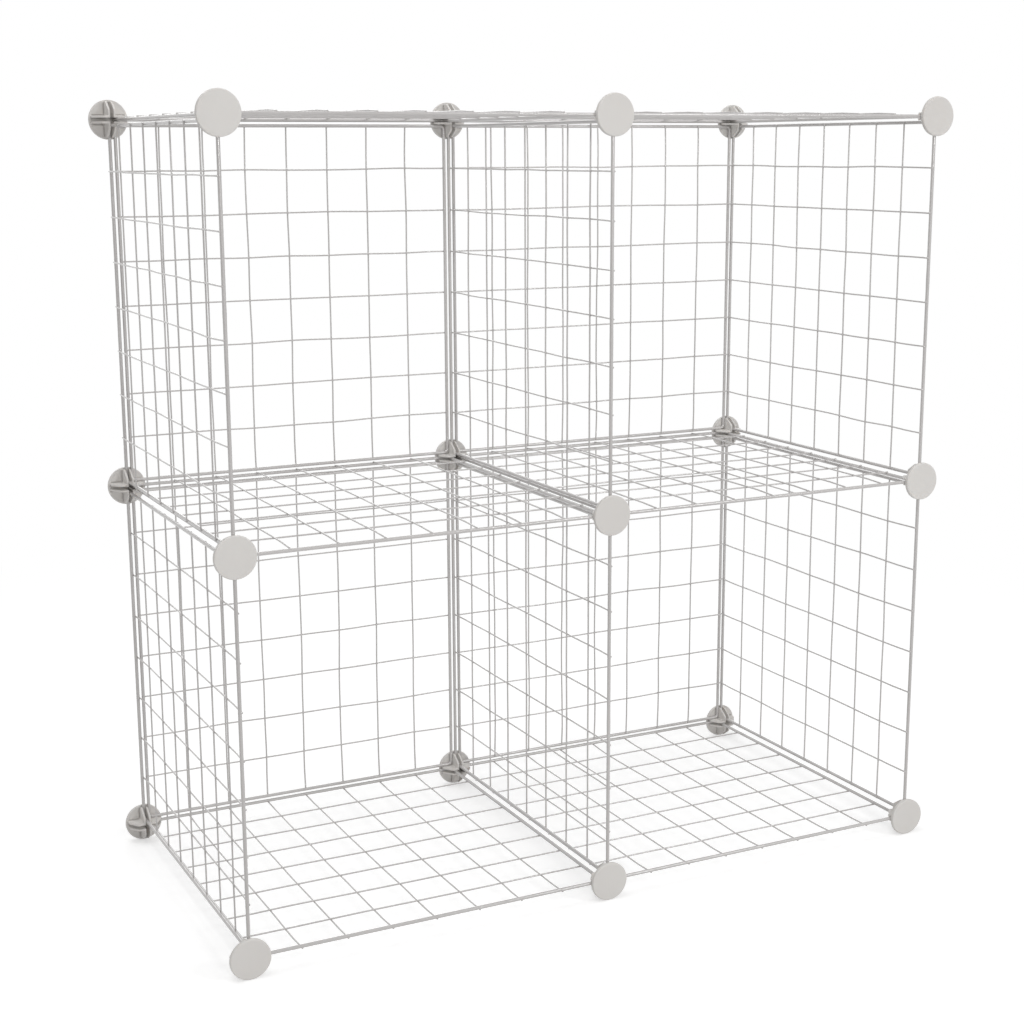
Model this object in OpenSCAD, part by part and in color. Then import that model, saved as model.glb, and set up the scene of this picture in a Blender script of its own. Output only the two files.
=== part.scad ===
// Cube storage unit: two columns and two rows of open-fronted cubes.
// Sixteen identical welded wire panels are held at their corners by eighteen identical round
// plastic connectors. Millimetres, +Z up, open front towards -Y, origin on the floor under the
// middle of the unit.

/* [Wire panel] */
// Distance between neighbouring grid wires, centre to centre
cell_pitch = 44; // [40:1:50]
// Number of grid cells along each side of a panel
cells = 8; // [6:1:10]
// Diameter of the thick wire round the edge of a panel
frame_wire_d = 3.4; // [3:0.1:4]
// Diameter of the thin wires of the grid
grid_wire_d = 1.6; // [1.2:0.1:1.8]
// Bend radius of the edge wire at the corners, to its centre line
corner_r = 4; // [3.5:0.5:7]
// Depth that two welded wires sink into each other
weld_sink = 0.6; // [0.4:0.05:0.7]
// How far a thin wire's cut end stops short of the edge wire's outer side
end_setback = 0.6; // [0.5:0.1:0.9]
// Length over which an outer-layer thin wire slopes down to the edge wire
slope_len = 24; // [16:1:34]

/* [Connector] */
// Diameter of the round disc
disc_d = 38; // [36:1:46]
// Thickness of the disc
disc_t = 3.6; // [3:0.1:4.4]
// Rounding of the disc's outer rim
rim_r = 1.2; // [0.6:0.1:1.4]
// Depth of the cross-shaped recess in the disc's inner face
recess_h = 1.2; // [0.8:0.1:1.6]
// How far the recess reaches out past the ribs on both sides of an arm
recess_margin = 1.5; // [1:0.1:2.5]
// Width of the plain ring that the recess leaves inside the rim
ring_w = 2.4; // [2.2:0.1:3.4]
// Thickness of the ribs between crossing wires
rib_t = 1.9; // [1.8:0.1:3]
// Height of the ribs near the middle of the disc
rib_h = 16; // [13:0.5:18]
// Height of the ribs where they end near the rim
rib_end_h = 5; // [4:0.2:7]
// Radius of the full-height middle of the ribs
rib_top_r = 10; // [8:0.5:12]
// Set-back of the ribs' ends from the rim of the disc
edge_step = 1.6; // [1.2:0.1:1.8]
// Radius of the small ridges that snap over a wire
snap_r = 0.6; // [0.4:0.1:0.8]
// Length of a snap ridge
snap_len = 3; // [2:0.5:4]
// Clearance between a wire and the slot that holds it
fit_clearance = 0.1; // [0.05:0.05:0.3]

/* [Hidden] */
$fn = 48;
eps = 0.01;

// Panel: centre-line square of the edge wire, and the two layers of thin wire above it
panel_w = cells * cell_pitch;
half_w = panel_w / 2;
frame_r = frame_wire_d / 2;
grid_r = grid_wire_d / 2;
layer_a = frame_r + grid_r - weld_sink;
layer_step = grid_wire_d - weld_sink;
layer_b = layer_a + layer_step;
grid_half = half_w + frame_r - end_setback;
// An outer-layer wire slopes down from its bend to the edge wire
bend_x = half_w - slope_len;
slope = atan(layer_step / slope_len);
bend_swell = 0.02;

// Connector: the slots between its ribs hold the wires of two crossing panels, and the panels
// that lie flat on its disc have their edge wires along the ribs' outer sides
slot_half = frame_r + fit_clearance;
rib_outer = slot_half + rib_t;
wire_offset = rib_outer + slot_half;
recess_half = rib_outer + recess_margin;
disc_r = disc_d / 2;
rib_end_r = disc_r - edge_step;
rib_corner_r = 0.8;
// Each snap ridge stands a third of its radius inside a wall, clear of the wire that it holds
snap_side = slot_half + snap_r / 3;
snap_h = slot_half + sqrt(pow(frame_r + snap_r + fit_clearance, 2) - pow(snap_side, 2));
snap_from = wire_offset + corner_r + slot_half / 2;

// Unit: connector axes stand one pitch apart, and the discs' rims stand on the floor
pitch = panel_w + 2 * wire_offset;
base_z = disc_r;
disc_y = half_w + slot_half;

// ---------- Wire panel, flat in XY about its centre, thin wires on its +Z side ----------

// A straight wire along X
module straight_wire(from_x, to_x, d) {
    translate([from_x, 0, 0]) rotate([0, 90, 0]) cylinder(d = d, h = to_x - from_x);
}

// One side of the edge wire and the bend at its end
module edge_side() {
    straight = half_w - corner_r;
    translate([0, -half_w, 0]) straight_wire(-straight, straight, frame_wire_d);
    translate([straight, -straight, 0]) rotate([0, 0, -90])
        rotate_extrude(angle = 90) translate([corner_r, 0]) circle(d = frame_wire_d);
}

// The thick wire round the edge of a panel
module edge_wire() {
    for (turn = [0:3]) rotate([0, 0, 90 * turn]) edge_side();
}

// The end of an outer-layer wire: it bends down to the edge wire and laps over it.
// A ball a hair fuller than the wire closes the mitre at the bend, its poles inside the wire.
module sloping_end() {
    translate([bend_x, 0, layer_b]) {
        rotate([0, 90, 0]) sphere(r = grid_r + bend_swell);
        rotate([0, slope, 0]) straight_wire(0, (grid_half - bend_x) / cos(slope), grid_wire_d);
    }
}

// An outer-layer wire, straight over the inner layer
module outer_wire() {
    translate([0, 0, layer_b]) straight_wire(-bend_x, bend_x, grid_wire_d);
    sloping_end();
    mirror([1, 0, 0]) sloping_end();
}

// Seven wires along X directly on the edge wire, and seven along Y over them
module panel() {
    color([0.75, 0.73, 0.72]) {
        edge_wire();
        for (i = [1:cells - 1]) {
            along = i * cell_pitch - half_w;
            translate([0, along, layer_a]) straight_wire(-grid_half, grid_half, grid_wire_d);
            translate([along, 0, 0]) rotate([0, 0, 90]) outer_wire();
        }
    }
}

// ---------- Connector, axis along Z, disc under the XY plane, ribs above it ----------

// A quarter of the plane beyond (from, from), with its corner rounded
module rounded_quarter(from, r) {
    reach = disc_r;
    translate([from + r, from + r]) circle(r = r);
    translate([from, from + r]) square(reach);
    translate([from + r, from]) square(reach);
}

// The L-shaped rib between two slots, in plan
module rib_plan() {
    difference() {
        rounded_quarter(slot_half, rib_corner_r);
        rounded_quarter(rib_outer, rib_corner_r);
    }
}

// Upper limit of the ribs: full height in the middle, sloping down towards the rim
module rib_envelope() {
    foot = -recess_h - eps;
    rotate_extrude() polygon([[0, foot], [rib_end_r, foot], [rib_end_r, rib_end_h], [rib_top_r, rib_h], [0, rib_h]]);
}

// The four ribs, standing in the recess
module ribs() {
    intersection() {
        for (turn = [0:3]) rotate([0, 0, 90 * turn])
            translate([0, 0, -recess_h - eps]) linear_extrude(height = rib_h + recess_h + eps) rib_plan();
        rib_envelope();
    }
}

// The cross that is sunk into the disc's inner face, in plan
module recess_plan() {
    intersection() {
        union() {
            square([disc_d, 2 * recess_half], center = true);
            square([2 * recess_half, disc_d], center = true);
        }
        circle(r = disc_r - ring_w);
    }
}

module disc() {
    difference() {
        rotate_extrude() {
            translate([0, -disc_t]) square([disc_r - rim_r, disc_t]);
            translate([0, rim_r - disc_t]) square([disc_r, disc_t - rim_r]);
            translate([disc_r - rim_r, rim_r - disc_t]) circle(r = rim_r);
        }
        translate([0, 0, -recess_h]) linear_extrude(height = 2 * recess_h) recess_plan();
    }
}

// A snap ridge along Y in a rib's wall at the given x
module snap_ridge(x) {
    translate([x, snap_from, snap_h]) rotate([-90, 0, 0]) cylinder(r = snap_r, h = snap_len);
}

module connector() {
    color([0.84, 0.83, 0.81]) {
        disc();
        ribs();
        for (turn = [0:3], x = [snap_side, wire_offset - snap_side]) rotate([0, 0, 90 * turn]) {
            snap_ridge(x);
            snap_ridge(-x);
        }
    }
}

// ---------- Places in the unit ----------

// column is -1 or 1, the left or right cube; row is 0 or 1, the lower or upper cube
function cube_x(column) = column * pitch / 2;
function cube_z(row) = base_z + (row + 0.5) * pitch;
// post is -1, 0 or 1 across the unit; level is 0, 1 or 2 up it
function post_x(post) = post * pitch;
function level_z(level) = base_z + level * pitch;

// A back panel with its thin wires behind it (facing 1) or before it (facing -1)
module back_panel(column, row, facing) {
    translate([cube_x(column), half_w, cube_z(row)]) rotate([-90 * facing, 0, 0]) panel();
}

// An upright panel across the unit, with its thin wires towards +X (facing 1) or -X
module upright_panel(post, row, facing) {
    translate([post_x(post), 0, cube_z(row)]) rotate([0, 90 * facing, 0]) panel();
}

// A level panel with its thin wires above it (facing 1) or below it (facing -1)
module level_panel(column, level, facing) {
    translate([cube_x(column), 0, level_z(level)]) rotate([facing > 0 ? 0 : 180, 0, 0]) panel();
}

// side is -1 at the front and 1 at the back: the ribs face into the unit
module placed_connector(side, post, level) {
    translate([post_x(post), side * disc_y, level_z(level)]) rotate([90 * side, 0, 0]) connector();
}

module back_panel_lower_left() { back_panel(-1, 0, 1); }
module back_panel_lower_right() { back_panel(1, 0, -1); }
module back_panel_upper_left() { back_panel(-1, 1, 1); }
module back_panel_upper_right() { back_panel(1, 1, -1); }
module left_side_panel_lower() { upright_panel(-1, 0, 1); }
module left_side_panel_upper() { upright_panel(-1, 1, -1); }
module right_side_panel_lower() { upright_panel(1, 0, -1); }
module right_side_panel_upper() { upright_panel(1, 1, -1); }
module divider_panel_lower() { upright_panel(0, 0, 1); }
module divider_panel_upper() { upright_panel(0, 1, 1); }
module bottom_panel_left() { level_panel(-1, 0, -1); }
module bottom_panel_right() { level_panel(1, 0, -1); }
module shelf_panel_left() { level_panel(-1, 1, 1); }
module shelf_panel_right() { level_panel(1, 1, 1); }
module top_panel_left() { level_panel(-1, 2, 1); }
module top_panel_right() { level_panel(1, 2, 1); }

module front_connector_bottom_left() { placed_connector(-1, -1, 0); }
module front_connector_bottom_middle() { placed_connector(-1, 0, 0); }
module front_connector_bottom_right() { placed_connector(-1, 1, 0); }
module front_connector_middle_left() { placed_connector(-1, -1, 1); }
module front_connector_centre() { placed_connector(-1, 0, 1); }
module front_connector_middle_right() { placed_connector(-1, 1, 1); }
module front_connector_top_left() { placed_connector(-1, -1, 2); }
module front_connector_top_middle() { placed_connector(-1, 0, 2); }
module front_connector_top_right() { placed_connector(-1, 1, 2); }
module rear_connector_bottom_left() { placed_connector(1, -1, 0); }
module rear_connector_bottom_middle() { placed_connector(1, 0, 0); }
module rear_connector_bottom_right() { placed_connector(1, 1, 0); }
module rear_connector_middle_left() { placed_connector(1, -1, 1); }
module rear_connector_centre() { placed_connector(1, 0, 1); }
module rear_connector_middle_right() { placed_connector(1, 1, 1); }
module rear_connector_top_left() { placed_connector(1, -1, 2); }
module rear_connector_top_middle() { placed_connector(1, 0, 2); }
module rear_connector_top_right() { placed_connector(1, 1, 2); }

back_panel_lower_left();
back_panel_lower_right();
back_panel_upper_left();
back_panel_upper_right();
left_side_panel_lower();
left_side_panel_upper();
right_side_panel_lower();
right_side_panel_upper();
divider_panel_lower();
divider_panel_upper();
bottom_panel_left();
bottom_panel_right();
shelf_panel_left();
shelf_panel_right();
top_panel_left();
top_panel_right();
front_connector_bottom_left();
front_connector_bottom_middle();
front_connector_bottom_right();
front_connector_middle_left();
front_connector_centre();
front_connector_middle_right();
front_connector_top_left();
front_connector_top_middle();
front_connector_top_right();
rear_connector_bottom_left();
rear_connector_bottom_middle();
rear_connector_bottom_right();
rear_connector_middle_left();
rear_connector_centre();
rear_connector_middle_right();
rear_connector_top_left();
rear_connector_top_middle();
rear_connector_top_right();
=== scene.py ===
# %% [markdown]
# # A wire cube storage unit, two cubes wide and two high
#
# Sixteen square panels of welded wire and eighteen moulded plastic connectors push together
# into four open cubes. No screw or glue holds them: each corner of a panel is pinched between
# the ribs of a connector.
#
# The CAD model already says where every piece goes and how big it is. This lesson gives the
# pieces their real surfaces: powder coat that pools at the welds, wires that are never quite
# straight, and moulded edges that are soft enough to catch the light. Every new surface is
# worked out with numpy as a whole grid of points, so its shape can be read as a formula.

import bpy
import numpy as np
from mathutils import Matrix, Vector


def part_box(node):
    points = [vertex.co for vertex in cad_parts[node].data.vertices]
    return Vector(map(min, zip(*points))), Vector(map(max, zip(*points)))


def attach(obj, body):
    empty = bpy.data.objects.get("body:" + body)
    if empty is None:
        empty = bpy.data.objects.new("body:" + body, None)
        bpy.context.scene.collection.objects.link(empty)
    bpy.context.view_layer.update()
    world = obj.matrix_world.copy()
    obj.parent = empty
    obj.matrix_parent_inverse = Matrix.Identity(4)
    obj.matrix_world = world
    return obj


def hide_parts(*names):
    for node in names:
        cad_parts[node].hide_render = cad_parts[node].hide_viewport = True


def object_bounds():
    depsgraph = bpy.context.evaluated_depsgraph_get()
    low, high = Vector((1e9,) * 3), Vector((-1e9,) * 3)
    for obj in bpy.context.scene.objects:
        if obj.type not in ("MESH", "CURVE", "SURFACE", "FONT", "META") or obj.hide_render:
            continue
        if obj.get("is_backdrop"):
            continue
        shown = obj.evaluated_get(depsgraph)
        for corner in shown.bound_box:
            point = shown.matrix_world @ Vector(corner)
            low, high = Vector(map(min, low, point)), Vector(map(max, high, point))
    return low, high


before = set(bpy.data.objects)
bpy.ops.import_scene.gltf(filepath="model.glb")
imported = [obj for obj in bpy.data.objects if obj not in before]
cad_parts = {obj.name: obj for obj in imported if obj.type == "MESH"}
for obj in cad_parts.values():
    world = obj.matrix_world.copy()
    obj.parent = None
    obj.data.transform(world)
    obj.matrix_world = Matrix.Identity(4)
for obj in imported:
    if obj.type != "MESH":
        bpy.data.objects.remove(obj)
cad_box = [list(corner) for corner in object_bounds()]
print("CAD box, lowest and highest corner in metres:", cad_box)

# %% [markdown]
# ## The sizes
#
# A wire mesh panel has only a few driving sizes: the two wire diameters, the number of cells
# and how far the welds sink the wires into each other. They could be measured from the CAD
# meshes, but the wires are thin and their diameters read more clearly as named values. The
# big sizes, such as the side of a panel, come from the frame, so that nothing has to be fitted.

# %% Sizes of the wires
MM = 0.001


def box_corners(name):
    """The lowest and the highest corner of a CAD node's box, as two arrays."""
    low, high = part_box(name)
    return np.array(low), np.array(high)


EDGE_R = 1.7 * MM  # thick wire round the edge of a panel
GRID_R = 0.8 * MM  # thin wire of the grid
CORNER_R = 4 * MM  # bend of the edge wire at a corner, to its centre line
WELD_SINK = 0.6 * MM  # how far two welded wires are pressed into each other
END_SETBACK = 0.6 * MM  # how far short of the edge wire's outer side a thin wire is cut
SLOPE_LEN = 24 * MM  # length over which an outer wire comes down to the edge wire
CELLS = 8

low, high = box_corners("top_panel_left")
half_w = (high[0] - low[0]) / 2 - EDGE_R
grid_half = half_w + EDGE_R - END_SETBACK
cell_pitch = 2 * half_w / CELLS
inner_layer = EDGE_R + GRID_R - WELD_SINK
outer_layer = inner_layer + 2 * GRID_R - WELD_SINK
crossings = cell_pitch * np.arange(1, CELLS) - half_w
print(f"panel {2 * half_w / MM:.1f} mm between edge wires, one cell {cell_pitch / MM:.1f} mm")

# %% Sizes of a connector
DISC_T = 3.6 * MM
RIM_R = 1.2 * MM  # rounding of the disc's outer edge
RECESS_H = 1.2 * MM  # depth of the cross that is sunk into the disc's inner face
RECESS_MARGIN = 1.5 * MM  # how far an arm of the cross reaches out past the ribs
RING_W = 2.4 * MM  # plain ring between the cross and the rim
RIB_T = 1.9 * MM
RIB_H = 16 * MM  # height of the ribs in the middle of the disc
RIB_END_H = 5 * MM  # height of the ribs at their far ends
RIB_TOP_R = 10 * MM  # the ribs keep their full height up to this distance from the middle
RIB_CORNER_R = 0.8 * MM  # both corners of an L-shaped rib, in plan
EDGE_STEP = 1.6 * MM  # how far the ribs stay inside the rim
SNAP_R = 0.6 * MM
SNAP_LEN = 3 * MM
SNAP_SINK = SNAP_R / 3  # how far a snap ridge's axis lies inside its wall
CLEARANCE = 0.1 * MM  # between a wire and each side of its slot

low, high = box_corners("front_connector_centre")
disc_r = (high[0] - low[0]) / 2
ring_in = disc_r - RING_W
rib_end_r = disc_r - EDGE_STEP
slot_half = EDGE_R + CLEARANCE
rib_outer = slot_half + RIB_T
wire_offset = rib_outer + slot_half
recess_half = rib_outer + RECESS_MARGIN
snap_side = slot_half + SNAP_SINK
print(f"disc {2 * disc_r / MM:.1f} mm across")
print(f"a rib's leg lies {slot_half / MM:.1f} to {rib_outer / MM:.1f} mm from the slot's middle")

# %% [markdown]
# ## The camera
#
# The unit is seen from the front, a little from the left and from above, as a shop would show
# it. A long lens at a distance would flatten the cubes. This one stands four panel lengths
# away from the nearest corner, so the near discs look bigger than the far ones. The camera
# comes first, because it decides which details are worth making.

# %% Camera
CAMERA_PLACE = (-0.7870, -1.5450, 0.7165)
CAMERA_TURN = (-26.58, -11.87, 0.25)  # degrees left of +Y, up from level, and roll
LENS_MM = 60.9
SENSOR_MM = 36
NEAREST = 0.01  # metres in front of the lens from which things are seen


def turned(axis, degrees):
    """A turn about one axis, as a 3 by 3 matrix.

    The other two axes get the cosine on the diagonal, and plus and minus the sine beside it.
    """
    c, s = np.cos(np.radians(degrees)), np.sin(np.radians(degrees))
    a, b = [i for i in range(3) if i != axis]
    matrix = np.eye(3)
    sign = -1 if axis == 1 else 1
    matrix[a, a], matrix[a, b], matrix[b, a], matrix[b, b] = c, -sign * s, sign * s, c
    return matrix


def put(thing, turn, place):
    """Turns and moves an object by one 4 by 4 matrix, and links it to the scene."""
    pose = np.eye(4)
    pose[:3, :3] = turn
    pose[:3, 3] = place
    thing.matrix_world = pose.T.tolist()
    bpy.context.scene.collection.objects.link(thing)


camera_data = bpy.data.cameras.new("camera")
camera_data.lens = LENS_MM
camera_data.sensor_width = SENSOR_MM
camera_data.clip_start = NEAREST
camera = bpy.data.objects.new("camera", camera_data)
yaw, pitch, roll = CAMERA_TURN
# a Blender camera looks along its own -Z, so the first turn it gets tips it up to look along +Y
put(camera, turned(2, yaw) @ turned(0, pitch) @ turned(1, roll) @ turned(0, 90), CAMERA_PLACE)
bpy.context.scene.camera = camera
print("camera at", CAMERA_PLACE, "with a", LENS_MM, "mm lens")

# %% [markdown]
# ## A white room
#
# The unit stands in plain white light with only a faint shadow. One way to get a white backdrop
# is to flood it with lamps, but that would bleach the object too. Here the backdrop is white
# only for the rays that come from the camera or a reflection, by the Light Path node, and the
# light that falls on the object keeps its own plain level.

# %% Helpers for shader nodes
WHITE = (1, 1, 1, 1)


def node(tree, kind, **inputs):
    """Adds a shader node and sets its plain inputs by name."""
    made = tree.nodes.new(kind)
    for name, value in inputs.items():
        made.inputs[name.replace("_", " ")].default_value = value
    return made


def link_up(tree, *pairs):
    """Joins outputs to inputs, given as (from, to) pairs."""
    for start, end in pairs:
        tree.links.new(start, end)


def seen_ray(tree):
    """1 for a ray that shows the backdrop: from the camera, a reflection or through glass."""
    path = tree.nodes.new("ShaderNodeLightPath")
    first = tree.nodes.new("ShaderNodeMath")
    second = tree.nodes.new("ShaderNodeMath")
    first.operation = second.operation = "MAXIMUM"
    link_up(
        tree,
        (path.outputs["Is Camera Ray"], first.inputs[0]),
        (path.outputs["Is Glossy Ray"], first.inputs[1]),
        (first.outputs[0], second.inputs[0]),
        (path.outputs["Is Transmission Ray"], second.inputs[1]),
    )
    return second.outputs[0]


print("a white surface has the colour", WHITE)

# %% World
WORLD_LEVEL = 0.42

world = bpy.data.worlds.new("white_room")
bpy.context.scene.world = world
world.use_nodes = True
tree = world.node_tree
tree.nodes.clear()
lighting = node(tree, "ShaderNodeBackground", Color=WHITE, Strength=WORLD_LEVEL)
backdrop = node(tree, "ShaderNodeBackground", Color=WHITE, Strength=1)
chooser = tree.nodes.new("ShaderNodeMixShader")
output = tree.nodes.new("ShaderNodeOutputWorld")
link_up(
    tree,
    (seen_ray(tree), chooser.inputs[0]),
    (lighting.outputs[0], chooser.inputs[1]),
    (backdrop.outputs[0], chooser.inputs[2]),
    (chooser.outputs[0], output.inputs["Surface"]),
)
bpy.context.scene.view_settings.view_transform = "Standard"
print("world lights the object at", WORLD_LEVEL)

# %% [markdown]
# The floor is a large white sheet. Near the unit it has to show the soft shadow, and far off
# it has to vanish into the backdrop, or a grey horizon would cut the picture in two. So its
# material is pale and lit near the unit and turns into plain white with the distance from it.

# %% Floor material
FLOOR_COLOUR = (0.8, 0.8, 0.8, 1)
FLOOR_GLOW = 0.42  # what a seen ray gets on top of the light that the floor bounces
FADE_FROM, FADE_TO = 0.75, 1.5  # distances from the middle of the unit, in metres


def floor_material():
    """A pale floor that reads as white where the light reaches it, and keeps the object's shadow.

    Light that bounces off it comes from the plain pale surface. A ray that shows the backdrop
    also meets a small even glow near the unit, and far from it nothing but plain white.
    """
    material = bpy.data.materials.new("pale_floor")
    material.use_nodes = True
    tree = material.node_tree
    tree.nodes.clear()
    pale = node(tree, "ShaderNodeBsdfDiffuse", Color=FLOOR_COLOUR)
    glow = node(tree, "ShaderNodeEmission", Color=WHITE)
    white = node(tree, "ShaderNodeEmission", Color=WHITE, Strength=1)
    glow_level = tree.nodes.new("ShaderNodeMath")
    white_share = tree.nodes.new("ShaderNodeMath")
    glow_level.operation = white_share.operation = "MULTIPLY"
    glow_level.inputs[1].default_value = FLOOR_GLOW
    place = tree.nodes.new("ShaderNodeTexCoord")
    distance = tree.nodes.new("ShaderNodeVectorMath")
    distance.operation = "LENGTH"
    fade = node(tree, "ShaderNodeMapRange", From_Min=FADE_FROM, From_Max=FADE_TO)
    fade.interpolation_type = "SMOOTHSTEP"
    near = tree.nodes.new("ShaderNodeAddShader")
    mixed = tree.nodes.new("ShaderNodeMixShader")
    output = tree.nodes.new("ShaderNodeOutputMaterial")
    seen = seen_ray(tree)
    link_up(
        tree,
        (seen, glow_level.inputs[0]),
        (glow_level.outputs[0], glow.inputs["Strength"]),
        (pale.outputs[0], near.inputs[0]),
        (glow.outputs[0], near.inputs[1]),
        (place.outputs["Object"], distance.inputs[0]),
        (distance.outputs["Value"], fade.inputs["Value"]),
        (fade.outputs["Result"], white_share.inputs[0]),
        (seen, white_share.inputs[1]),
        (white_share.outputs[0], mixed.inputs[0]),
        (near.outputs[0], mixed.inputs[1]),
        (white.outputs[0], mixed.inputs[2]),
        (mixed.outputs[0], output.inputs["Surface"]),
    )
    return material


pale_floor = floor_material()
print("pale floor:", len(pale_floor.node_tree.nodes), "nodes")

# %% Floor
FLOOR_REACH = 30  # metres from the middle to each side

floor_mesh = bpy.data.meshes.new("floor")
corners = [(x * FLOOR_REACH, y * FLOOR_REACH, 0) for x, y in ((-1, -1), (1, -1), (1, 1), (-1, 1))]
floor_mesh.from_pydata(corners, [], [(0, 1, 2, 3)])
floor_mesh.materials.append(pale_floor)
floor = bpy.data.objects.new("floor", floor_mesh)
bpy.context.scene.collection.objects.link(floor)
floor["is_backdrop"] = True
print("floor at height 0,", 2 * FLOOR_REACH, "metres across")

# %% [markdown]
# Open wirework has no broad faces, so its shape is read from the two sides of each wire and
# from the shadow on the floor. Very wide lamps alone would wash out both. The key lamp at the
# right and a low one in front are under a metre wide, so they draw soft but visible shadows. A
# wide lamp overhead lights the tops of the level wires, and a weak one behind keeps the rear
# from going dull.

# %% Soft studio lamps
LAMPS = {
    # name: (place, size in metres, watts)
    "key": ((1.6, -2.5, 1.8), 0.8, 20),
    "front": ((-0.3, -3.1, 0.95), 0.5, 17),
    "top": ((-0.6, 0.1, 2.8), 2.2, 23),
    "back": ((0.7, 2.7, 1.5), 1.8, 10),
}
aim_at = np.array([0, 0, (cad_box[0][2] + cad_box[1][2]) / 2])


def look_rotation(place, target):
    """Three axes as columns, with -Z pointing from place to target, which isn't straight below.

    Back = place - target, right = up x back, and the third axis = back x right, each one long.
    """
    back = np.array(place) - target
    back = back / np.linalg.norm(back)
    right = np.cross((0, 0, 1), back)
    right = right / np.linalg.norm(right)
    return np.stack([right, np.cross(back, right), back], axis=1)


for name, (place, size, watts) in LAMPS.items():
    data = bpy.data.lights.new(name, "AREA")
    data.shape = "DISK"
    data.size = size
    data.energy = watts
    lamp = bpy.data.objects.new(name, data)
    lamp.visible_camera = False
    put(lamp, look_rotation(place, aim_at), place)
    print(f"{name}: {watts} W from {place}")

# %% [markdown]
# ## Two finishes, and what they share
#
# The wires are steel under a baked powder coat. The powder melts and flows, but not quite
# flat, so the skin has a faint orange peel. Its top is glossy, and a gloss mirrors most at a
# flat angle, so the wires that run away from the viewer pick up some of the white room. The
# connectors are moulded in a milky plastic, with a fine frosted grain on every face that the
# mould was spark-eroded for.
#
# Image textures could hold both, but a texture has a fixed sharpness and has to be laid on.
# A procedural pattern is sharp at any distance. Both finishes use the same two effects, a
# surface grain and slow handling marks, so each effect is one node group with named inputs,
# which the two materials set in their own way.

# %% A node group for grain
def new_group(name, inputs, outputs):
    """An empty shader node group with float or colour sockets, and its two end nodes."""
    group = bpy.data.node_groups.new(name, "ShaderNodeTree")
    for label, kind, value in inputs:
        socket = group.interface.new_socket(label, in_out="INPUT", socket_type=kind)
        socket.default_value = value
    for label, kind in outputs:
        group.interface.new_socket(label, in_out="OUTPUT", socket_type=kind)
    return group, group.nodes.new("NodeGroupInput"), group.nodes.new("NodeGroupOutput")


def grain_group():
    """Height of a skin: a wide soft swell plus a fine grain, each with its own amount.

    Height = Swell * noise at the swell's size + Fine * noise at the grain's size.
    """
    floats = "NodeSocketFloat"
    group, given, result = new_group(
        "skin_grain",
        [
            ("Swell Scale", floats, 500),
            ("Swell", floats, 1),
            ("Fine Scale", floats, 4000),
            ("Fine", floats, 0.3),
        ],
        [("Height", floats)],
    )
    place = group.nodes.new("ShaderNodeTexCoord")
    swell = node(group, "ShaderNodeTexNoise", Detail=1.0, Roughness=0.4)
    fine = node(group, "ShaderNodeTexNoise", Detail=2.0, Roughness=0.6)
    swell_part = group.nodes.new("ShaderNodeMath")
    fine_part = group.nodes.new("ShaderNodeMath")
    total = group.nodes.new("ShaderNodeMath")
    swell_part.operation = fine_part.operation = "MULTIPLY"
    total.operation = "ADD"
    link_up(
        group,
        (place.outputs["Object"], swell.inputs["Vector"]),
        (place.outputs["Object"], fine.inputs["Vector"]),
        (given.outputs["Swell Scale"], swell.inputs["Scale"]),
        (given.outputs["Fine Scale"], fine.inputs["Scale"]),
        (swell.outputs[0], swell_part.inputs[0]),
        (given.outputs["Swell"], swell_part.inputs[1]),
        (fine.outputs[0], fine_part.inputs[0]),
        (given.outputs["Fine"], fine_part.inputs[1]),
        (swell_part.outputs[0], total.inputs[0]),
        (fine_part.outputs[0], total.inputs[1]),
        (total.outputs[0], result.inputs["Height"]),
    )
    return group


skin_grain = grain_group()
print("group", skin_grain.name, "has", len(skin_grain.nodes), "nodes")

# %% A node group for slow changes of shade
# noise seldom strays far from 0.5, so these middle stretches of it are spread to a full range
DRIFT_STRETCH = {"From_Min": 0.35, "From_Max": 0.65}
RUB_STRETCH = {"From_Min": 0.3, "From_Max": 0.7}


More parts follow.
